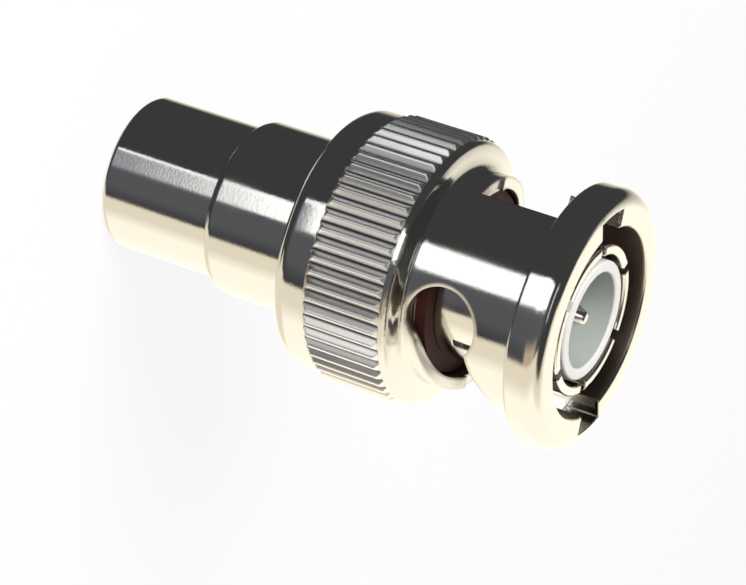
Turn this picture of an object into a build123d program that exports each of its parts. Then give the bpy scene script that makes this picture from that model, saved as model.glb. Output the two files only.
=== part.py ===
from build123d import *
import math
import os

# Plug-to-jack coaxial adapter: a bayonet plug with a knurled, sprung coupling sleeve at the
# front, and a phono jack tail at the rear.
# Millimetres. +Z runs along the connector's axis and out of the bayonet mouth, and the origin
# is the centre of the phono tail's rear face, on which the adapter stands.

# Phono tail and neck of the body
tube_length = 6.6
tube_wall = 0.7
tube_edge_round = 0.3
neck_step = 0.57
neck_length = 5.55
neck_edge_round = 0.5

# Coupling sleeve: outside
knurl_wall = 1.21
knurl_depth = 0.32
knurl_length = 4.3
knurl_count = 60
knurl_tip_share = 0.54
knurl_root_share = 0.12
knurl_tip_round = 0.11
knurl_end_bevel = 0.22
rear_rim_drop = 0.16
rear_rim_length = 2.05
rear_rim_round = 0.9
front_rim_drop = 0.16
front_rim_length = 0.34
front_rim_round = 0.3
shoulder_slope = 0.3
shoulder_fillet = 0.4
barrel_wall = 0.65
flange_height = 1.18
flange_thickness = 1.9
flange_front_round = 0.88
flange_rear_round = 0.2

# Coupling sleeve: inside
mouth_bevel = 0.1
spring_channel = 1.23
cavity_front_wall = 0.62
ring_groove_depth = 0.4
rear_lip_thickness = 0.7

# Bayonet cam slots, unrolled: angles go clockwise as seen from the front
cam_count = 2
cam_lead_angle = 22.5
cam_lead_depth = 1.05
cam_turn = 93.0
cam_hole_radius = 1.9
cam_hole_setback = 6.1
cam_hole_azimuth = -62.0
cam_hole_margin = 0.16
cam_mouth_front = 3.4
cam_mouth_rear = 6.75
# Each row: share of the turn from lead-in to hole, share of the way from the front edge at the
# mouth to the rear edge there for the slot's front edge, and the same for its rear edge
cam_edge_shares = [
    (0.00, 0.00, 1.00),
    (0.28, 0.04, 1.03),
    (0.45, 0.07, 1.06),
    (0.59, 0.13, 1.11),
    (0.70, 0.25, 1.16),
    (0.80, 0.34, 1.21),
    (0.88, 0.39, 1.27),
    (0.97, 0.42, 1.38),
]

# Retaining pieces inside the sleeve
ring_thickness = 0.6
ring_neck_gap = 0.48
ring_gap_angle = 16.0
thrust_thickness = 0.4
wave_solid_height = 0.6
wave_thickness = 0.25
wave_count = 3
wave_width = 0.8
coupling_travel = 1.0

# Body: collar, spigot and bores
spigot_length = 1.2
spigot_wall = 1.09
web_thickness = 2.5
web_hole_wall = 0.85

# Contacts, insulators and seal
contact_wall = 0.55
contact_tail_step = 0.2
contact_setback = 0.4
contact_tip_round = 0.15
finger_count = 6
finger_slit_width = 0.5
finger_azimuth = 26.0
finger_root_gap = 1.0
gasket_height = 0.6
cup_gap = 0.3
cup_room = 1.835
cup_wall = 0.61
cup_setback = 0.43
cup_recess_depth = 5.2
cup_edge_round = 0.12
pin_radius = 0.685
pin_setback = 0.8
pin_tip_radius = 0.3
pin_tip_round = 0.2
pin_nose_length = 0.85
pin_nose_round = 0.4
pin_shank_step = 0.165
rear_insulator_wall = 1.45
rear_insulator_setback = 0.3
socket_radius = 1.6
socket_wall = 0.4
socket_setback = 0.35
socket_depth = 11.6
socket_entry_bevel = 0.2
tine_count = 4
tine_slit_width = 0.4
tine_slit_length = 6.5
tail_hole_bevel = 0.25

# Clearances
running_clearance = 0.06
collar_clearance = 0.08
press_clearance = 0.01
seat_gap = 0.02
stack_gap = 0.05
overrun = 1.0

# Radii worked out from the sizes above, from the inside out. The phono tube comes out at the
# standard 8.3 across, and the bayonet mouth at 10.0 across for a 9.6 jack shell
socket_outer_radius = socket_radius + socket_wall
tail_bore_radius = socket_outer_radius + rear_insulator_wall
tube_radius = tail_bore_radius + tube_wall
neck_radius = tube_radius + neck_step
cavity_radius = neck_radius + spring_channel
collar_radius = cavity_radius - collar_clearance
ring_inner_radius = neck_radius + ring_neck_gap
knurl_radius = cavity_radius + knurl_wall
rear_rim_radius = knurl_radius - rear_rim_drop
front_rim_radius = knurl_radius - front_rim_drop
pin_tail_radius = pin_radius + pin_shank_step
web_hole_radius = pin_tail_radius + web_hole_wall
cup_recess_radius = pin_radius + cup_room
cup_radius = cup_recess_radius + cup_wall
contact_inner_radius = cup_radius + cup_gap
contact_radius = contact_inner_radius + contact_wall
contact_tail_radius = contact_radius - contact_tail_step
contact_bore_radius = contact_tail_radius + press_clearance
spigot_radius = contact_bore_radius + spigot_wall
mouth_radius = spigot_radius + running_clearance * 2
barrel_radius = mouth_radius + barrel_wall
flange_radius = barrel_radius + flange_height
cam_lead_radius = mouth_radius + cam_lead_depth

# Heights worked out from the sizes above, from the rear face up
neck_z = tube_length
sleeve_rear_z = neck_z + neck_length
knurl_rear_z = sleeve_rear_z + rear_rim_length
knurl_front_z = knurl_rear_z + knurl_length
shoulder_z = knurl_front_z + front_rim_length
barrel_z = shoulder_z + shoulder_slope
front_z = barrel_z + cam_hole_margin + cam_hole_radius + cam_hole_setback
flange_z = front_z - flange_thickness
ring_z = sleeve_rear_z + rear_lip_thickness
thrust_z = ring_z + ring_thickness + stack_gap
wave_z = thrust_z + thrust_thickness
wave_height = wave_solid_height + coupling_travel
collar_z = wave_z + wave_height
step_z = shoulder_z - cavity_front_wall
spigot_z = step_z - seat_gap
gasket_z = spigot_z + spigot_length
finger_z = gasket_z + gasket_height + seat_gap
contact_front_z = front_z - contact_setback
cup_front_z = front_z - cup_setback
cup_floor_z = cup_front_z - cup_recess_depth
pin_front_z = front_z - pin_setback
pin_nose_z = pin_front_z - pin_nose_length
web_rear_z = collar_z - web_thickness / 2
web_front_z = web_rear_z + web_thickness
socket_rear_z = rear_insulator_setback + socket_setback
socket_floor_z = socket_rear_z + socket_depth


def outlined(*points):
    """Closed face in the XZ plane from (radius, height) points joined by straight lines."""
    return make_face(Polyline(*[(r, 0, z) for r, z in points], close=True))


def turned(points):
    """Solid of revolution about Z from (radius, height) points joined by straight lines."""
    return revolve(outlined(*points), Axis.Z)


def tube(outer_radius, inner_radius, low_z, high_z):
    """Plain ring or sleeve between two heights."""
    return turned([
        (inner_radius, low_z),
        (outer_radius, low_z),
        (outer_radius, high_z),
        (inner_radius, high_z),
    ])


def rod(radius, low_z, high_z):
    """Plain round bar between two heights."""
    height = high_z - low_z
    align = (Align.CENTER, Align.CENTER, Align.MIN)
    return Pos(0, 0, low_z) * Cylinder(radius, height, align=align)


def circles_at(solid, radius, height):
    """The solid's round edges of one radius at one height."""
    near = running_clearance / 2
    return [
        edge for edge in solid.edges().filter_by(GeomType.CIRCLE)
        if abs(edge.radius - radius) < near and abs(edge.center().Z - height) < near
    ]


def main_body():
    """Turned brass body: phono tube, neck, guide collar and front spigot in one piece."""
    outside = turned([
        (0, 0),
        (tube_radius, 0),
        (tube_radius, neck_z),
        (neck_radius, neck_z),
        (neck_radius, collar_z),
        (collar_radius, collar_z),
        (collar_radius, spigot_z),
        (spigot_radius, spigot_z),
        (spigot_radius, gasket_z),
        (0, gasket_z),
    ])
    outside = fillet(circles_at(outside, tube_radius, 0), tube_edge_round)
    outside = fillet(circles_at(outside, neck_radius, neck_z), neck_edge_round)
    tail_bore = rod(tail_bore_radius, -overrun, web_rear_z)
    web_hole = rod(web_hole_radius, 0, gasket_z)
    front_bore = rod(contact_bore_radius, web_front_z, gasket_z + overrun)
    return outside - tail_bore - web_hole - front_bore


def cam_height(share):
    """Height for a share of the way from the slot's front edge to its rear edge at the mouth."""
    return front_z - cam_mouth_front - share * (cam_mouth_rear - cam_mouth_front)


def cam_section(turn_share, front_share, rear_share):
    """Upright section of one cam slot, as a face in a plane through the axis."""
    inner = contact_radius
    outer = flange_radius + overrun
    low = cam_height(rear_share)
    high = cam_height(front_share)
    azimuth = cam_hole_azimuth + cam_turn * (1 - turn_share)
    section = outlined((inner, low), (outer, low), (outer, high), (inner, high))
    return Rot(0, 0, azimuth) * section


def cam_cutter():
    """One bayonet cam: lead-in notch at the mouth, curved ramp slot and round locking hole."""
    ramp = loft([cam_section(*row) for row in cam_edge_shares])
    lead_azimuth = cam_hole_azimuth + cam_turn
    lead_low = cam_height(1)
    lead_ring = tube(cam_lead_radius, contact_radius, lead_low, front_z + overrun)
    wedge_reach = flange_radius + overrun
    half_angle = math.radians(cam_lead_angle / 2)
    wedge_half = wedge_reach * math.tan(half_angle)
    wedge_sides = Polyline((0, 0), (wedge_reach, -wedge_half), (wedge_reach, wedge_half), close=True)
    wedge = extrude(make_face(wedge_sides), front_z + overrun - lead_low)
    wedge = Pos(0, 0, lead_low) * wedge
    lead = Rot(0, 0, lead_azimuth) * (wedge & lead_ring)
    hole_height = front_z - cam_hole_setback
    hole_align = (Align.CENTER, Align.CENTER, Align.MIN)
    hole = Cylinder(cam_hole_radius, flange_radius, align=hole_align)
    hole = Pos(0, 0, hole_height) * Rot(0, 90, 0) * hole
    hole = Rot(0, 0, cam_hole_azimuth) * hole
    return ramp + lead + hole


def knurl_ring():
    """Straight knurl: even ridges with flat, round-cornered tips, bevelled where they end."""
    pitch = math.radians(360 / knurl_count)
    root_radius = knurl_radius - knurl_depth
    corners = []
    for index in range(knurl_count):
        middle = index * pitch
        for radius, share in (
            (root_radius, -0.5),
            (root_radius, knurl_root_share / 2 - 0.5),
            (knurl_radius, -knurl_tip_share / 2),
            (knurl_radius, knurl_tip_share / 2),
            (root_radius, 0.5 - knurl_root_share / 2),
        ):
            angle = middle + share * pitch
            corners.append((radius * math.cos(angle), radius * math.sin(angle)))
    outline = make_face(Polyline(*corners, close=True))
    near = running_clearance
    tips = [v for v in outline.vertices() if math.hypot(v.X, v.Y) > knurl_radius - near]
    ridges = extrude(fillet(tips, knurl_tip_round), knurl_length)
    ridges = Pos(0, 0, knurl_rear_z) * ridges
    envelope = turned([
        (0, knurl_rear_z),
        (knurl_radius - knurl_end_bevel, knurl_rear_z),
        (knurl_radius, knurl_rear_z + knurl_end_bevel),
        (knurl_radius, knurl_front_z - knurl_end_bevel),
        (knurl_radius - knurl_end_bevel, knurl_front_z),
        (0, knurl_front_z),
    ])
    return ridges & envelope


def coupling_sleeve():
    """Knurled bayonet sleeve with its rims, barrel, front flange and two cams."""
    rear = turned([
        (0, sleeve_rear_z),
        (rear_rim_radius, sleeve_rear_z),
        (rear_rim_radius, knurl_rear_z),
        (0, knurl_rear_z),
    ])
    rear = fillet(circles_at(rear, rear_rim_radius, sleeve_rear_z), rear_rim_round)
    front = turned([
        (0, knurl_front_z),
        (front_rim_radius, knurl_front_z),
        (front_rim_radius, shoulder_z),
        (barrel_radius, barrel_z),
        (barrel_radius, flange_z),
        (flange_radius, flange_z),
        (flange_radius, front_z),
        (0, front_z),
    ])
    front = fillet(circles_at(front, front_rim_radius, shoulder_z), front_rim_round)
    front = fillet(circles_at(front, barrel_radius, barrel_z), shoulder_fillet)
    front = fillet(circles_at(front, flange_radius, flange_z), flange_rear_round)
    front = fillet(circles_at(front, flange_radius, front_z), flange_front_round)
    sleeve = rear + knurl_ring() + front
    sleeve -= rod(mouth_radius, sleeve_rear_z - overrun, front_z + overrun)
    sleeve -= rod(cavity_radius, sleeve_rear_z - overrun, step_z)
    sleeve -= rod(cavity_radius + ring_groove_depth, ring_z, ring_z + ring_thickness)
    sleeve = chamfer(circles_at(sleeve, mouth_radius, front_z), mouth_bevel)
    cam = cam_cutter()
    for index in range(cam_count):
        sleeve -= Rot(0, 0, index * 360 / cam_count) * cam
    return sleeve


def retaining_ring():
    """Split spring ring that sits in the sleeve's rear groove and closes its cavity."""
    outer = cavity_radius + ring_groove_depth - running_clearance
    low = ring_z + seat_gap
    high = ring_z + ring_thickness - seat_gap
    ring = tube(outer, ring_inner_radius, low, high)
    half_gap = cavity_radius * math.radians(ring_gap_angle / 2)
    gap = Pos(cavity_radius, 0, low) * Box(
        cavity_radius, half_gap * 2, ring_thickness * 2
    )
    return ring - gap


def thrust_washer():
    """Flat washer that rides on the neck and carries the wave washer."""
    return tube(
        cavity_radius - collar_clearance,
        neck_radius + running_clearance,
        thrust_z,
        thrust_z + thrust_thickness - seat_gap,
    )


def wave_washer():
    """Wave spring washer between the thrust washer and the body's collar."""
    inner = neck_radius + collar_clearance * 2
    outer = inner + wave_width
    low = wave_z + seat_gap
    high = collar_z - seat_gap
    swing = (high - low - wave_thickness) / 2
    middle = (high + low) / 2
    steps = wave_count * 8
    sections = []
    for index in range(steps + 1):
        angle = 360 * index / steps
        lift = middle + swing * math.cos(math.radians(wave_count * angle))
        bottom = lift - wave_thickness / 2
        top = lift + wave_thickness / 2
        section = outlined((inner, bottom), (outer, bottom), (outer, top), (inner, top))
        sections.append(Rot(0, 0, angle) * section)
    half = steps // 2
    return loft(sections[:half + 1], ruled=True) + loft(sections[half:], ruled=True)


def outer_contact():
    """Slotted outer contact: spring fingers that enter the mating jack's shell."""
    shell = tube(contact_radius, contact_inner_radius, finger_z, contact_front_z)
    tip_edges = circles_at(shell, contact_radius, contact_front_z)
    tip_edges += circles_at(shell, contact_inner_radius, contact_front_z)
    shell = fillet(tip_edges, contact_tip_round)
    shell += tube(contact_tail_radius, contact_inner_radius, web_front_z, finger_z)
    slit_low = finger_z + finger_root_gap
    slit_height = contact_front_z + overrun - slit_low
    slit_align = (Align.MIN, Align.CENTER, Align.MIN)
    slit_reach = contact_radius + overrun
    slit = Pos(0, 0, slit_low) * Box(slit_reach, finger_slit_width, slit_height, align=slit_align)
    for index in range(finger_count):
        shell -= Rot(0, 0, finger_azimuth + index * 360 / finger_count) * slit
    return shell


def sealing_gasket():
    """Soft ring at the foot of the outer contact, which the mating jack's shell presses on."""
    return tube(spigot_radius, contact_bore_radius, gasket_z, gasket_z + gasket_height)


def front_insulator():
    """White insulator: deep cup at the front, stepped body and a tail through the web."""
    base_radius = contact_inner_radius - press_clearance
    tail_radius = web_hole_radius - press_clearance
    base_front = cup_floor_z - contact_wall
    shape = turned([
        (0, web_rear_z),
        (tail_radius, web_rear_z),
        (tail_radius, web_front_z),
        (base_radius, web_front_z),
        (base_radius, base_front),
        (cup_radius, base_front),
        (cup_radius, cup_front_z),
        (0, cup_front_z),
    ])
    shape -= rod(cup_recess_radius, cup_floor_z, cup_front_z + overrun)
    rim = circles_at(shape, cup_radius, cup_front_z)
    rim += circles_at(shape, cup_recess_radius, cup_front_z)
    shape = fillet(rim, cup_edge_round)
    return shape - rod(pin_tail_radius + press_clearance, web_rear_z - overrun, cup_floor_z + overrun)


def centre_pin():
    """Centre pin: thick shank through the front insulator, slim pin with a tapered nose."""
    pin = turned([
        (0, socket_floor_z + socket_wall),
        (pin_tail_radius, socket_floor_z + socket_wall),
        (pin_tail_radius, cup_floor_z),
        (pin_radius, cup_floor_z),
        (pin_radius, pin_nose_z),
        (pin_tip_radius, pin_front_z),
        (0, pin_front_z),
    ])
    pin = fillet(circles_at(pin, pin_radius, pin_nose_z), pin_nose_round)
    return fillet(circles_at(pin, pin_tip_radius, pin_front_z), pin_tip_round)


def rear_insulator():
    """Insulator that fills the phono tail around its centre contact."""
    shape = tube(
        tail_bore_radius - press_clearance,
        socket_outer_radius + running_clearance,
        rear_insulator_setback + socket_setback,
        web_rear_z,
    )
    lip = tube(
        tail_bore_radius - press_clearance,
        socket_radius + tail_hole_bevel,
        rear_insulator_setback,
        rear_insulator_setback + socket_setback,
    )
    return shape + lip


def socket_contact():
    """Phono centre contact: a split socket at the rear, closed towards the centre pin."""
    shape = tube(socket_outer_radius, socket_radius, socket_rear_z + seat_gap, socket_floor_z)
    shape = chamfer(circles_at(shape, socket_radius, socket_rear_z + seat_gap), socket_entry_bevel)
    shape += tube(
        socket_outer_radius, pin_tail_radius + press_clearance, socket_floor_z, web_rear_z
    )
    slit_align = (Align.CENTER, Align.CENTER, Align.MIN)
    for index in range(tine_count // 2):
        slit = Box(socket_outer_radius * 3, tine_slit_width, tine_slit_length, align=slit_align)
        shape -= Rot(0, 0, index * 360 / tine_count) * Pos(0, 0, socket_rear_z) * slit
    return shape


pieces = {
    "main_body": main_body,
    "coupling_sleeve": coupling_sleeve,
    "retaining_ring": retaining_ring,
    "thrust_washer": thrust_washer,
    "wave_washer": wave_washer,
    "outer_contact": outer_contact,
    "sealing_gasket": sealing_gasket,
    "front_insulator": front_insulator,
    "centre_pin": centre_pin,
    "rear_insulator": rear_insulator,
    "socket_contact": socket_contact,
}

os.makedirs("parts", exist_ok=True)
for node, make in pieces.items():
    solid = make()
    export_step(solid, f"parts/{node}.step")
    print(node, round(solid.volume, 2))
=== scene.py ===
# %% [markdown]
# A bayonet plug to phono jack adapter in bright nickel, dressed in Blender.
# The real adapter is turned brass with a thin bright plating, a white insulator and a dark red
# seal inside its mouth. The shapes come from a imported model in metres, standing on its phono
# tube with the mouth up, and this script gives them their surfaces, their light and a camera.

# %% Load the frame
import math

import bpy
from mathutils import Matrix, Vector


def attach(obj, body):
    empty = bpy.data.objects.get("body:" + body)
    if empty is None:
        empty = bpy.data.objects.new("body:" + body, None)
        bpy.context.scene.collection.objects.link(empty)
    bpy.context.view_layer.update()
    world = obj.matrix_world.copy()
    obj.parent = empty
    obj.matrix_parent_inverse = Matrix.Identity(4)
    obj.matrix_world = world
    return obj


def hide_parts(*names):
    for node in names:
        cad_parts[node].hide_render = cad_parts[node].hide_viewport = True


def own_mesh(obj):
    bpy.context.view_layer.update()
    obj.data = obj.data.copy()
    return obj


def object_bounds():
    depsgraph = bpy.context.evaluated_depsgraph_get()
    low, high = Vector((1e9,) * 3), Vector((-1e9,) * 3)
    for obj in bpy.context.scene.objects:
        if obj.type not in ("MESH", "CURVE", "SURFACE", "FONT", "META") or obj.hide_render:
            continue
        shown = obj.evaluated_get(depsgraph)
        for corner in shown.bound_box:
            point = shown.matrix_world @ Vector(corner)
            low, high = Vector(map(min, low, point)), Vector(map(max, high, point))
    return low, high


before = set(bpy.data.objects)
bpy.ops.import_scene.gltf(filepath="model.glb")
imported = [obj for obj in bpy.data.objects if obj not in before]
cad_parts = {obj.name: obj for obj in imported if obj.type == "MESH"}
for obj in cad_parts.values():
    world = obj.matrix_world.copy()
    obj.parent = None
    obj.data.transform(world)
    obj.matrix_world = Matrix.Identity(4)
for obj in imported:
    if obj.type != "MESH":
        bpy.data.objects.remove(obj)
cad_low, cad_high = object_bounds()
bpy.ops.object.select_all(action="DESELECT")

MM = 0.001
total_height = cad_high.z - cad_low.z
print("nodes", sorted(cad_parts), "height in mm", round(total_height / MM, 2))

# %% [markdown]
# Every finish here is a tree of shader nodes. An image could be painted instead, but nodes stay
# sharp at any zoom and need no file. These two helpers keep the trees short: one adds a node and
# sets its plain sockets, and one makes a material with a Principled shader in it.

# %% Nodes and materials
def add_node(tree, kind, **sockets):
    """A new node with some of its input sockets set by name."""
    node = tree.nodes.new(kind)
    for name, value in sockets.items():
        node.inputs[name.replace("_", " ")].default_value = value
    return node


def new_finish(name, color, roughness, metallic=0.0):
    """A material with a Principled shader, and its tree and shader to build on."""
    finish = bpy.data.materials.new(name)
    finish.use_nodes = True
    tree = finish.node_tree
    shader = tree.nodes["Principled BSDF"]
    shader.inputs["Base Color"].default_value = (*color, 1.0)
    shader.inputs["Roughness"].default_value = roughness
    shader.inputs["Metallic"].default_value = metallic
    return finish, tree, shader


print("node helpers", add_node.__name__, new_finish.__name__)

# %% [markdown]
# A finish varies over a piece through numbers that run from node to node. These helpers do a sum
# on such numbers, stretch one span of values onto another, and mix two colours by a share that
# goes from 0 to 1.

# %% Numbers and colours
FIRST_COLOUR_SOCKET = 6
SECOND_COLOUR_SOCKET = 7
MIXED_COLOUR_SOCKET = 2


def math_node(tree, operation, first, second=None):
    """One arithmetic node on sockets or plain numbers."""
    node = tree.nodes.new("ShaderNodeMath")
    node.operation = operation
    for index, value in enumerate((first, second)):
        if isinstance(value, (int, float)):
            node.inputs[index].default_value = value
        elif value is not None:
            tree.links.new(value, node.inputs[index])
    return node.outputs[0]


def stretched(tree, value, span, onto):
    """Maps a value from one span onto another, and holds it at the ends."""
    mapped = add_node(
        tree, "ShaderNodeMapRange", From_Min=span[0], From_Max=span[1], To_Min=onto[0], To_Max=onto[1]
    )
    tree.links.new(value, mapped.inputs["Value"])
    return mapped.outputs["Result"]


def blend_colour(tree, share, below, above):
    """Mixes two colours, each a socket or a plain colour."""
    mix = tree.nodes.new("ShaderNodeMix")
    mix.data_type = "RGBA"
    tree.links.new(share, mix.inputs[0])
    for index, value in ((FIRST_COLOUR_SOCKET, below), (SECOND_COLOUR_SOCKET, above)):
        if isinstance(value, tuple):
            mix.inputs[index].default_value = (*value, 1.0)
        else:
            tree.links.new(value, mix.inputs[index])
    return mix.outputs[MIXED_COLOUR_SOCKET]


print("number helpers", math_node.__name__, stretched.__name__, blend_colour.__name__)

# %% [markdown]
# Noise gives clouds, grain and peel. It reads object coordinates, so it stays on the metal when
# the sleeve turns. Used as a height it goes through a Bump node, which tilts the surface's
# normal and leaves the mesh alone, and that is enough for relief of a few thousandths of a
# millimetre.

# %% Noise and relief
def object_noise(tree, per_metre, detail, stretch=(1, 1, 1)):
    """Noise over the piece's own coordinates, stretched along its axes."""
    place = tree.nodes.new("ShaderNodeTexCoord")
    mapping = tree.nodes.new("ShaderNodeMapping")
    mapping.inputs["Scale"].default_value = stretch
    tree.links.new(place.outputs["Object"], mapping.inputs["Vector"])
    noise = add_node(tree, "ShaderNodeTexNoise", Scale=per_metre, Detail=detail)
    tree.links.new(mapping.outputs["Vector"], noise.inputs["Vector"])
    return noise.outputs["Fac"]


def add_bump(tree, shader, height, strength, depth):
    """Turns a height value into a slight relief on the shader's normal."""
    bump = add_node(tree, "ShaderNodeBump", Strength=strength, Distance=depth)
    tree.links.new(height, bump.inputs["Height"])
    tree.links.new(bump.outputs["Normal"], shader.inputs["Normal"])
    return bump


print("surface helpers", object_noise.__name__, add_bump.__name__)

# %% [markdown]
# The adapter is turned about one axis, so a place on it is told by its distance from that axis
# and its height. One mesh holds both polished and dull metal, and masks on these two numbers
# tell them apart without painting faces. A mask that is a ring about the axis also stays right
# when the sleeve turns.

# %% Zones about the axis
SHARP = 0.02 * MM


def radius_and_height(tree):
    """Distance from the axis and height above the rear face, from object coordinates."""
    place = tree.nodes.new("ShaderNodeTexCoord")
    split = tree.nodes.new("ShaderNodeSeparateXYZ")
    tree.links.new(place.outputs["Object"], split.inputs[0])
    x, y, z = split.outputs
    x_squared = math_node(tree, "MULTIPLY", x, x)
    y_squared = math_node(tree, "MULTIPLY", y, y)
    return math_node(tree, "SQRT", math_node(tree, "ADD", x_squared, y_squared)), z


def inside_span(tree, value, span):
    """1 where a value lies in a span, with sharp ends."""
    low, high = span
    above = stretched(tree, value, (low, low + SHARP), (0.0, 1.0))
    below = stretched(tree, value, (high - SHARP, high), (1.0, 0.0))
    return math_node(tree, "MULTIPLY", above, below)


def zone(tree, place, radii, heights):
    """1 in a ring-shaped zone about the axis, and 0 outside it."""
    radius, height = place
    in_radii = inside_span(tree, radius, radii)
    in_heights = inside_span(tree, height, heights)
    return math_node(tree, "MULTIPLY", in_radii, in_heights)


print("masks end within", SHARP / MM, "mm")

# %% [markdown]
# Three places on the sleeve don't have the bright plating's look. The bore gets little plating
# and stays dull, and its colour is painted darker there as shade inside the sleeve. The knurl is
# pressed in and never polished; its colour is painted lighter as a sheen, and it is darker towards
# the foot of its ridges. The walls of the slots and holes are satin from the milling cutter, and
# they lie within the barrel's wall.

# %% Bore, knurl and milled walls
BORE_RADIUS = 5.02 * MM
BORE_LOW = 18.0 * MM
KNURL_RADII = (6.75 * MM, 7.5 * MM)
KNURL_HEIGHTS = (14.2 * MM, 18.5 * MM)
# Below this radius the knurl's ridges turn darker towards their foot.
KNURL_FOOT_TOP = 6.95 * MM
KNURL_FOOT_FADE = 5 * SHARP
CUT_RADII = (5.04 * MM, 5.6 * MM)
CUT_HEIGHTS = (18.9 * MM, 27.1 * MM)


def bore_share(tree, place):
    """1 on the metal inside the sleeve's bore and 0 on the outside of the connector."""
    radius, height = place
    inside = stretched(tree, radius, (BORE_RADIUS, BORE_RADIUS + SHARP), (1.0, 0.0))
    in_front = stretched(tree, height, (BORE_LOW, BORE_LOW + SHARP), (0.0, 1.0))
    return math_node(tree, "MULTIPLY", inside, in_front)


def knurl_foot_share(tree, place):
    """1 at the foot of the knurl's ridges, and 0 nearer their tips and off the knurl."""
    at_foot = stretched(tree, place[0], (KNURL_FOOT_TOP - KNURL_FOOT_FADE, KNURL_FOOT_TOP), (1.0, 0.0))
    return math_node(tree, "MULTIPLY", zone(tree, place, KNURL_RADII, KNURL_HEIGHTS), at_foot)


print("knurl from", KNURL_HEIGHTS[0] / MM, "to", KNURL_HEIGHTS[1] / MM, "mm above the rear face")

# %% [markdown]
# Bright plating never lies quite flat. It has a very fine orange peel, which frays the edges of
# a reflection, and it rounds each corner a little. Beveling every corner of the mesh would cost
# many faces, so a Bevel node rounds only the normals there. The barrel's edges were deburred
# after milling, so they read rounder than the turned ones.

# %% Orange peel and soft edges
EDGE_RADIUS = 0.12 * MM
DEBURRED_RADIUS = 0.35 * MM
EDGE_SAMPLES = 6
BARREL_RADII = (5.04 * MM, 5.75 * MM)
BARREL_HEIGHTS = (18.9 * MM, 25.3 * MM)
PEEL_SIZE = 0.16 * MM
PEEL_DETAIL = 2
PEEL_STRENGTH = 1.0
PEEL_DEPTH = 0.0016 * MM


def peel_and_soft_edges(tree, shader, deburred=None):
    """Orange peel on the plating, over edges that read as slightly rounded."""
    edges = tree.nodes.new("ShaderNodeBevel")
    edges.samples = EDGE_SAMPLES
    edges.inputs["Radius"].default_value = EDGE_RADIUS
    if deburred is not None:
        radius = stretched(tree, deburred, (0, 1), (EDGE_RADIUS, DEBURRED_RADIUS))
        tree.links.new(radius, edges.inputs["Radius"])
    peel = object_noise(tree, 1 / PEEL_SIZE, PEEL_DETAIL)
    bump = add_bump(tree, shader, peel, PEEL_STRENGTH, PEEL_DEPTH)
    tree.links.new(edges.outputs["Normal"], bump.inputs["Normal"])


print("peel", PEEL_SIZE / MM, "mm wide, edges rounded by", EDGE_RADIUS / MM, "mm")

# %% [markdown]
# Nickel is a slightly warm grey mirror. Handling leaves faint cloudy patches on it, which change
# the roughness and not the colour. The knurl, the milled walls and the bore add their own
# dulling to that roughness. The colour changes too: painted lighter on the knurl as a sheen,
# darker at the foot of its ridges, and painted darker in the bore as shade.

# %% Nickel finish
NICKEL_TINT = (0.74, 0.725, 0.69)
# The bore's dark tint is painted shade inside the sleeve, over its thin plating.
BORE_PLATING_AND_SHADE_TINT = (0.32, 0.26, 0.23)
# The knurl's lighter tint is a painted sheen on its ridges.
KNURL_SHEEN_TINT = (0.92, 0.91, 0.89)
# The knurl's ridges are darker towards their foot.
KNURL_FOOT_TINT = (0.10, 0.095, 0.09)
NICKEL_ROUGHNESS = 0.1
CLOUDY_ROUGHNESS = (0.06, 0.13)
CLOUDS_PER_METRE = 260
CLOUD_DETAIL = 3
CLOUD_SPAN = (0.35, 0.75)
BORE_DULLING = 0.3
KNURL_DULLING = 0.27
CUT_DULLING = 0.2


def bright_nickel():
    """Polished plating with orange peel and cloudy patches outside, dull and painted dark as shade in
    the bore, with a painted sheen on the knurl.
    """
    finish, tree, shader = new_finish("bright_nickel", NICKEL_TINT, NICKEL_ROUGHNESS, metallic=1.0)
    place = radius_and_height(tree)
    bore = bore_share(tree, place)
    knurl = zone(tree, place, KNURL_RADII, KNURL_HEIGHTS)
    cut = zone(tree, place, CUT_RADII, CUT_HEIGHTS)
    barrel = zone(tree, place, BARREL_RADII, BARREL_HEIGHTS)
    # The knurl gets a painted sheen and darker ridge feet, and the bore gets painted shade.
    colour = blend_colour(tree, knurl, NICKEL_TINT, KNURL_SHEEN_TINT)
    colour = blend_colour(tree, knurl_foot_share(tree, place), colour, KNURL_FOOT_TINT)
    colour = blend_colour(tree, bore, colour, BORE_PLATING_AND_SHADE_TINT)
    tree.links.new(colour, shader.inputs["Base Color"])
    clouds = object_noise(tree, CLOUDS_PER_METRE, CLOUD_DETAIL)
    roughness = stretched(tree, clouds, CLOUD_SPAN, CLOUDY_ROUGHNESS)
    for share, dulling in ((bore, BORE_DULLING), (knurl, KNURL_DULLING), (cut, CUT_DULLING)):
        added = math_node(tree, "MULTIPLY", share, dulling)
        roughness = math_node(tree, "ADD", roughness, added)
    tree.links.new(roughness, shader.inputs["Roughness"])
    peel_and_soft_edges(tree, shader, deburred=barrel)
    return finish


nickel = bright_nickel()
print("metal", nickel.name, "with", len(nickel.node_tree.nodes), "nodes")

# %% [markdown]
# The contacts have a softer plating that is never polished, so their clouds are smaller and
# rougher. The retaining ring and the washers are rolled spring steel, whose grain is drawn out
# along the strip, and a noise that is squeezed along one axis gives that.

# %% Contact plating and spring steel
CONTACT_TINT = (0.78, 0.76, 0.72)
CONTACT_ROUGHNESS = 0.16
CONTACT_CLOUDS_PER_METRE = 500
CONTACT_CLOUDY_ROUGHNESS = (0.1, 0.22)
STEEL_TINT = (0.60, 0.60, 0.61)
STEEL_ROUGHNESS = 0.3
GRAINS_PER_METRE = 700
GRAIN_DETAIL = 3
GRAIN_STRETCH = (1, 6, 1)
GRAIN_SPAN = (0.3, 0.7)
GRAINY_ROUGHNESS = (0.22, 0.4)


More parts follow.
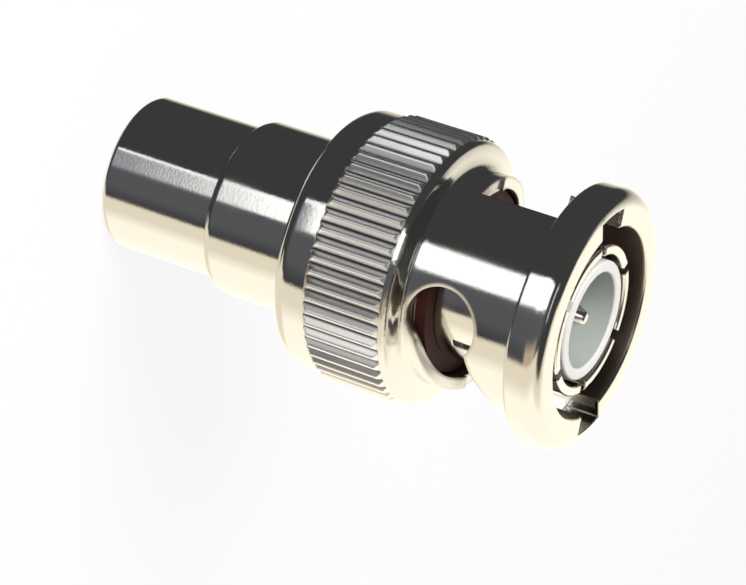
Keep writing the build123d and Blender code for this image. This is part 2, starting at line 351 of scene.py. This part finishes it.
def contact_plating():
    """Softer plating of the contacts, which are never polished."""
    finish, tree, shader = new_finish("contact_plating", CONTACT_TINT, CONTACT_ROUGHNESS, metallic=1.0)
    clouds = object_noise(tree, CONTACT_CLOUDS_PER_METRE, CLOUD_DETAIL)
    roughness = stretched(tree, clouds, CLOUD_SPAN, CONTACT_CLOUDY_ROUGHNESS)
    tree.links.new(roughness, shader.inputs["Roughness"])
    peel_and_soft_edges(tree, shader)
    return finish


def bright_spring_steel():
    """Rolled spring steel of the ring and washers."""
    finish, tree, shader = new_finish("bright_spring_steel", STEEL_TINT, STEEL_ROUGHNESS, metallic=1.0)
    grain = object_noise(tree, GRAINS_PER_METRE, GRAIN_DETAIL, stretch=GRAIN_STRETCH)
    tree.links.new(stretched(tree, grain, GRAIN_SPAN, GRAINY_ROUGHNESS), shader.inputs["Roughness"])
    return finish


contact_metal = contact_plating()
spring_metal = bright_spring_steel()
print("metals", contact_metal.name, spring_metal.name)

# %% [markdown]
# The insulator is a waxy white plastic that lets a little light in, and a small subsurface share
# gives it that glow, which plain paint doesn't have. Its colour is faintly mottled and its skin
# finely uneven. Deep in the cup the plastic lies in shade, and a zone paints that shade on as a
# grey-green tint.

# %% Insulator finish
PLASTIC_WHITE = (0.68, 0.68, 0.64)
PLASTIC_ROUGHNESS = 0.45
PLASTIC_DARKER = (0.68, 0.67, 0.64)
PLASTIC_LIGHTER = (0.76, 0.74, 0.71)
MOTTLES_PER_METRE = 420
MOTTLE_DETAIL = 3
GLOW_SHARE = 0.2
GLOW_COLOUR = (1.0, 1.0, 0.9)
GLOW_DEPTH = 0.3 * MM
# Painted shade deep in the cup, as a grey-green tint.
CUP_SHADE_TINT = (0.47, 0.50, 0.47)
CUP_RADII = (-0.1 * MM, 2.6 * MM)
CUP_HEIGHTS = (21.0 * MM, 26.75 * MM)
SKIN_PER_METRE = 2500
SKIN_DETAIL = 2
SKIN_STRENGTH = 0.5
SKIN_DEPTH = 0.004 * MM


def waxy_insulator():
    """White moulded plastic with a little light passing through it, and painted shade deep in its cup.
    """
    finish, tree, shader = new_finish("waxy_insulator", PLASTIC_WHITE, PLASTIC_ROUGHNESS)
    shader.inputs["Subsurface Weight"].default_value = GLOW_SHARE
    shader.inputs["Subsurface Radius"].default_value = GLOW_COLOUR
    shader.inputs["Subsurface Scale"].default_value = GLOW_DEPTH
    mottle = object_noise(tree, MOTTLES_PER_METRE, MOTTLE_DETAIL)
    colour = blend_colour(tree, mottle, PLASTIC_DARKER, PLASTIC_LIGHTER)
    cup = zone(tree, radius_and_height(tree), CUP_RADII, CUP_HEIGHTS)
    tree.links.new(blend_colour(tree, cup, colour, CUP_SHADE_TINT), shader.inputs["Base Color"])
    skin = object_noise(tree, SKIN_PER_METRE, SKIN_DETAIL)
    add_bump(tree, shader, skin, SKIN_STRENGTH, SKIN_DEPTH)
    return finish


insulator_white = waxy_insulator()
print("plastic", insulator_white.name, "tinted to", CUP_HEIGHTS[1] / MM, "mm")

# %% [markdown]
# The seal is dark red silicone with a dusty skin, and its red is painted darker still as shade,
# since it sits deep in the mouth. One noise drives both its colour and its relief, so the dust
# is paler where it stands proud.

# %% Seal finish
# The seal's reds are darker than the silicone's own, as painted shade deep in the mouth.
SILICONE_SHADED_RED = (0.06, 0.012, 0.01)
SILICONE_ROUGHNESS = 0.6
SILICONE_GLOSS = 0.2
SILICONE_SHADED_CLEAN = (0.028, 0.007, 0.006)
SILICONE_SHADED_DUSTY = (0.055, 0.011, 0.008)
DUST_PER_METRE = 900
DUST_DETAIL = 4
DUST_STRENGTH = 0.5
DUST_DEPTH = 0.01 * MM


def silicone_seal():
    """Dark red silicone with a dusty skin, painted darker as shade."""
    finish, tree, shader = new_finish("silicone_seal", SILICONE_SHADED_RED, SILICONE_ROUGHNESS)
    shader.inputs["Specular IOR Level"].default_value = SILICONE_GLOSS
    dust = object_noise(tree, DUST_PER_METRE, DUST_DETAIL)
    colour = blend_colour(tree, dust, SILICONE_SHADED_CLEAN, SILICONE_SHADED_DUSTY)
    tree.links.new(colour, shader.inputs["Base Color"])
    add_bump(tree, shader, dust, DUST_STRENGTH, DUST_DEPTH)
    return finish


seal_red = silicone_seal()
print("rubber", seal_red.name)

# %% [markdown]
# The model already has one object per real piece. A finish is assigned to each by its name,
# and the objects themselves are left where they are.

# %% Dress the pieces
FINISH_OF_NODE = {
    "main_body": nickel,
    "coupling_sleeve": nickel,
    "retaining_ring": spring_metal,
    "thrust_washer": spring_metal,
    "wave_washer": spring_metal,
    "outer_contact": contact_metal,
    "sealing_gasket": seal_red,
    "front_insulator": insulator_white,
    "centre_pin": contact_metal,
    "rear_insulator": insulator_white,
    "socket_contact": contact_metal,
}


def dress(piece, finish):
    """Gives a piece one finish all over."""
    piece.data.materials.clear()
    piece.data.materials.append(finish)


for node_name, finish in FINISH_OF_NODE.items():
    dress(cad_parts[node_name], finish)
print("dressed", len(FINISH_OF_NODE), "pieces")

# %% [markdown]
# The knurl was pressed in by a wheel with pointed teeth, so the real ridges are narrow at the
# tip and wide at the foot, and both flanks of each one mirror the room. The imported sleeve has
# the same ridges with broader tips. They could be cut anew, but it is enough to draw each point
# of a ridge towards the ridge's middle, more so near the tip. The half-widths are shares of the
# pitch, each before and after.

# %% The shape of a ridge
KNURL_COUNT = 60
PITCH = 2 * math.pi / KNURL_COUNT
RIDGE_FOOT = 6.84 * MM
RIDGE_HEIGHT = 0.32 * MM
FOOT_HALF_WIDTHS = (0.44, 0.48)
TIP_HALF_WIDTHS = (0.27, 0.09)


def narrowing(radius):
    """How much narrower a ridge becomes at a radius, from its half-widths before and after."""
    rise = (radius - RIDGE_FOOT) / RIDGE_HEIGHT
    pairs = zip(FOOT_HALF_WIDTHS, TIP_HALF_WIDTHS)
    before, after = (foot + (tip - foot) * rise for foot, tip in pairs)
    return after / before


print("a ridge's tip keeps", round(narrowing(RIDGE_FOOT + RIDGE_HEIGHT), 2), "of its width")

# %% [markdown]
# The rims beside the knurl end at the same heights as the ridges do, so a point there is told
# from a ridge's point by its radius. Points in the middle of a groove stay where they are.

# %% Draw the ridges in
RIM_RADIUS = 7.0 * MM
GROOVE_MIDDLE = 0.46
NEAR = 0.01 * MM


def on_ridge(point):
    """True for a point of a ridge, and False for one on the rims beside the knurl."""
    radius = math.hypot(point.x, point.y)
    low, high = KNURL_HEIGHTS
    at_end = min(abs(point.z - low), abs(point.z - high)) < NEAR
    if radius < RIDGE_FOOT - NEAR or not low - NEAR < point.z < high + NEAR:
        return False
    return not (at_end and radius > RIM_RADIUS - 2 * NEAR)


def sharpen_ridges(mesh):
    """Draws each ridge's points towards its middle, and returns how many moved."""
    moved = 0
    for vertex in mesh.vertices:
        point = vertex.co
        angle = math.atan2(point.y, point.x)
        middle = round(angle / PITCH) * PITCH
        share = (angle - middle) / PITCH
        if on_ridge(point) and abs(share) < GROOVE_MIDDLE:
            radius = math.hypot(point.x, point.y)
            turned = middle + share * PITCH * narrowing(radius)
            vertex.co = (radius * math.cos(turned), radius * math.sin(turned), point.z)
            moved += 1
    return moved


print("ridges", KNURL_COUNT, "with a pitch of", round(math.degrees(PITCH), 2), "degrees")

# %% [markdown]
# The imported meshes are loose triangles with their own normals, and they are never changed. So a
# piece that takes another shape starts as a new object with a copy of the mesh. Its triangles
# are joined where they meet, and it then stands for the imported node.

# %% A knurled sleeve with pointed ridges
SMOOTH_ANGLE = math.radians(30)
MERGE_DISTANCE = NEAR / 10


def merged_copy(node, name):
    """A new piece from a CAD node's mesh, its loose triangles joined, selected and active."""
    piece = bpy.data.objects.new(name, node.data.copy())
    bpy.context.scene.collection.objects.link(piece)
    bpy.ops.object.select_all(action="DESELECT")
    piece.select_set(True)
    bpy.context.view_layer.objects.active = piece
    bpy.ops.mesh.customdata_custom_splitnormals_clear()
    bpy.ops.object.mode_set(mode="EDIT")
    bpy.ops.mesh.select_all(action="SELECT")
    bpy.ops.mesh.remove_doubles(threshold=MERGE_DISTANCE)
    bpy.ops.object.mode_set(mode="OBJECT")
    return piece


sleeve = merged_copy(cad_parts["coupling_sleeve"], "knurled_sleeve")
print("ridge points moved", sharpen_ridges(sleeve.data), "of", len(sleeve.data.vertices))
bpy.ops.object.shade_smooth_by_angle(angle=SMOOTH_ANGLE)
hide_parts("coupling_sleeve")
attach(sleeve, "coupling")

# %% [markdown]
# The wave washer is the coupling's spring. When the sleeve is pulled forward, the thrust washer
# presses the waves flat against the body's collar. Its copy here is joined and smoothed and
# gets a mesh of its own, but its shape is not changed.

spring = merged_copy(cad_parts["wave_washer"], "spring_washer")
bpy.ops.object.shade_smooth_by_angle(angle=SMOOTH_ANGLE)
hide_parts("wave_washer")
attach(spring, "connector")
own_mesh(spring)

# %% [markdown]
# The photograph looks into the mouth from the front and the side, with the camera rolled so
# that the connector's axis runs down to the right. The camera's place and axes were fitted to
# the photograph's circles, in the frame of the standing model.

# %% Camera
CAMERA_PLACE_MM = (2.2, -146.6, 82.3)
CAMERA_RIGHT = (-0.3226, 0.3951, 0.8601)
CAMERA_UP = (-0.9464, -0.1347, -0.2931)
PHOTO_WIDTH_PX = 746
FOCAL_LENGTH_PX = 3140
SENSOR_MM = 36.0
NEAREST_SEEN = 10 * MM
FARTHEST_SEEN = 10.0


def photo_camera():
    """The fitted camera, as a new scene camera."""
    data = bpy.data.cameras.new("photo_camera")
    camera = bpy.data.objects.new("photo_camera", data)
    bpy.context.scene.collection.objects.link(camera)
    right = Vector(CAMERA_RIGHT).normalized()
    up = Vector(CAMERA_UP)
    up = (up - up.dot(right) * right).normalized()
    back = right.cross(up)
    turn = Matrix((right, up, back)).transposed().to_4x4()
    camera.matrix_world = Matrix.Translation(Vector(CAMERA_PLACE_MM) * MM) @ turn
    data.sensor_width = SENSOR_MM
    data.lens = FOCAL_LENGTH_PX / PHOTO_WIDTH_PX * SENSOR_MM
    data.clip_start = NEAREST_SEEN
    data.clip_end = FARTHEST_SEEN
    return camera


bpy.context.scene.camera = photo_camera()
print("lens", round(bpy.context.scene.camera.data.lens, 1))

# %% [markdown]
# Bright metal is only as good as what it mirrors. In the photograph that is a dark room, one
# tall white window behind the camera, and a cream table and wall to the side. Real cards and
# lamps could be placed round the object, but patches painted on the world are lighter and don't
# cast shadows. Each patch is a span of azimuth and a span of elevation in degrees, with the
# softness of its edges and its colour, and a later patch covers an earlier one.

# %% World patches
DARK_ROOM = (0.052, 0.054, 0.055)
PATCHES = [
    # name, azimuths, elevations, softness across, softness up, colour
    ("room_glow", (-104, -45), (-45, 60), 18, 20, (0.115, 0.118, 0.13)),
    ("tan_edge", (-52, -20), (-14, 42), 12, 8, (0.62, 0.50, 0.37)),
    ("wall_side", (80, 122), (-36, 46), 9, 10, (0.62, 0.58, 0.50)),
    ("cream_table", (-35, 92), (-72, 58), 4, 6, (1.02, 0.93, 0.74)),
    ("table_bright", (-8, 108), (-34, 44), 18, 10, (1.38, 1.30, 1.12)),
    ("table_under", (45, 135), (-86, -58), 10, 5, (0.9, 0.88, 0.8)),
    ("window", (-110, -84), (-29, 50), 3, 2.5, (1.75, 1.75, 1.75)),
    ("window_frame", (-111, -107.5), (-33, -26), 1, 2, (1.3, 1.35, 1.4)),
    ("window_foot", (-107, -82), (-36, -28), 5, 4, (0.28, 0.30, 0.34)),
    ("ceiling_line", (-135, -58), (73.4, 76.6), 10, 1.2, (1.5, 1.5, 1.5)),
]
print("patches", [patch[0] for patch in PATCHES])

# %% [markdown]
# The world's coordinates are the direction of a ray. Its azimuth and elevation are worked out
# from them, and each patch is laid over the colour so far by the share that these two give.

# %% The mirrored room
def soft_window(tree, value, span, softness):
    """1 where a value lies in a span, falling to 0 over the softness around each end."""
    low, high = span
    half = softness / 2
    rising = stretched(tree, value, (low - half, low + half), (0.0, 1.0))
    falling = stretched(tree, value, (high - half, high + half), (1.0, 0.0))
    return math_node(tree, "MULTIPLY", rising, falling)


def mirrored_room(tree):
    """The colour that mirror rays see, by the azimuth and elevation of their direction."""
    direction = tree.nodes.new("ShaderNodeTexCoord")
    split = tree.nodes.new("ShaderNodeSeparateXYZ")
    tree.links.new(direction.outputs["Generated"], split.inputs[0])
    x, y, z = split.outputs
    azimuth = math_node(tree, "DEGREES", math_node(tree, "ARCTAN2", y, x))
    elevation = math_node(tree, "DEGREES", math_node(tree, "ARCSINE", z))
    colour = DARK_ROOM
    for name, azimuths, elevations, across, up, patch_colour in PATCHES:
        in_azimuths = soft_window(tree, azimuth, azimuths, across)
        in_elevations = soft_window(tree, elevation, elevations, up)
        share = math_node(tree, "MULTIPLY", in_azimuths, in_elevations)
        share.node.label = name
        colour = blend_colour(tree, share, colour, patch_colour)
    return colour


print("the room has", len(PATCHES), "patches on a dark ground")

# %% [markdown]
# The world shader picks one of three backgrounds by the kind of ray: white for the camera, the
# patches for mirror rays, and an even light for everything dull.

# %% World
WHITE = (1, 1, 1, 1)
SEEN_STRENGTH = 1.0
MIRRORED_STRENGTH = 1.0
EVEN_LIGHT = 0.5


def choose_by_ray(tree, kind, otherwise, chosen):
    """The chosen shader for one kind of ray, and the other shader for all the rest."""
    path = tree.nodes.new("ShaderNodeLightPath")
    choice = tree.nodes.new("ShaderNodeMixShader")
    tree.links.new(path.outputs[kind], choice.inputs[0])
    tree.links.new(otherwise, choice.inputs[1])
    tree.links.new(chosen, choice.inputs[2])
    return choice.outputs[0]


def studio_world():
    """White for the camera, even light for dull surfaces, and patches for mirror rays."""
    world = bpy.data.worlds.new("studio_world")
    world.use_nodes = True
    tree = world.node_tree
    tree.nodes.clear()
    seen = add_node(tree, "ShaderNodeBackground", Color=WHITE, Strength=SEEN_STRENGTH)
    even = add_node(tree, "ShaderNodeBackground", Color=WHITE, Strength=EVEN_LIGHT)
    mirrored = add_node(tree, "ShaderNodeBackground", Strength=MIRRORED_STRENGTH)
    tree.links.new(mirrored_room(tree), mirrored.inputs["Color"])
    unseen = choose_by_ray(tree, "Is Glossy Ray", even.outputs[0], mirrored.outputs[0])
    final = choose_by_ray(tree, "Is Camera Ray", unseen, seen.outputs[0])
    output = tree.nodes.new("ShaderNodeOutputWorld")
    tree.links.new(final, output.inputs["Surface"])
    return world


bpy.context.scene.world = studio_world()
bpy.context.scene.view_settings.view_transform = "Standard"
print("world", bpy.context.scene.world.name)

# %% [markdown]
# The floor is plain and pale. It has to read as white to the camera and still hold the
# connector's soft shadow, so most of what the camera sees of it is even light and the rest is
# its shading. Mirror rays pass it, because the patches of the world stand for the table.

# %% Floor
FLOOR_WIDTH = 6.0
FLOOR_SHADE = (0.9, 0.9, 0.9, 1)
FLOOR_GLOW = 1.0
FLOOR_EVEN_SHARE = 0.85


def floor_finish():
    """A pale dull surface that reads nearly white to the camera."""
    finish = bpy.data.materials.new("pale_floor")
    finish.use_nodes = True
    tree = finish.node_tree
    tree.nodes.clear()
    shaded = add_node(tree, "ShaderNodeBsdfDiffuse", Color=FLOOR_SHADE)
    even = add_node(tree, "ShaderNodeEmission", Color=WHITE, Strength=FLOOR_GLOW)
    seen = add_node(tree, "ShaderNodeMixShader", Fac=FLOOR_EVEN_SHARE)
    tree.links.new(shaded.outputs[0], seen.inputs[1])
    tree.links.new(even.outputs[0], seen.inputs[2])
    final = choose_by_ray(tree, "Is Camera Ray", shaded.outputs[0], seen.outputs[0])
    output = tree.nodes.new("ShaderNodeOutputMaterial")
    tree.links.new(final, output.inputs["Surface"])
    return finish


bpy.ops.mesh.primitive_plane_add(size=FLOOR_WIDTH, location=(0, 0, 0))
floor = bpy.context.object
floor.name = "pale_floor"
floor.data.materials.append(floor_finish())
floor.visible_glossy = False
print("floor", FLOOR_WIDTH, "m wide")

# %% [markdown]
# One soft box high on the camera's side models the dull surfaces and casts the soft shadow. The
# metal already mirrors the window patch, so the lamp itself is kept out of reflections.

# %% Lamp
LAMP_PLACE_MM = (-120, -160, 220)
LAMP_AIM_MM = (0, 0, 14)
LAMP_WIDTH_MM = 160
LAMP_POWER = 0.85


def soft_lamp(name):
    """A square soft box that lights dull surfaces and isn't mirrored."""
    data = bpy.data.lights.new(name, "AREA")
    data.size = LAMP_WIDTH_MM * MM
    data.energy = LAMP_POWER
    lamp = bpy.data.objects.new(name, data)
    bpy.context.scene.collection.objects.link(lamp)
    place = Vector(LAMP_PLACE_MM) * MM
    aim = Vector(LAMP_AIM_MM) * MM
    lamp.location = place
    lamp.rotation_euler = (aim - place).to_track_quat("-Z", "Y").to_euler()
    lamp.visible_glossy = False
    return lamp


key_lamp = soft_lamp("key_lamp")
print("lamp", key_lamp.name, "with", LAMP_POWER, "watts")
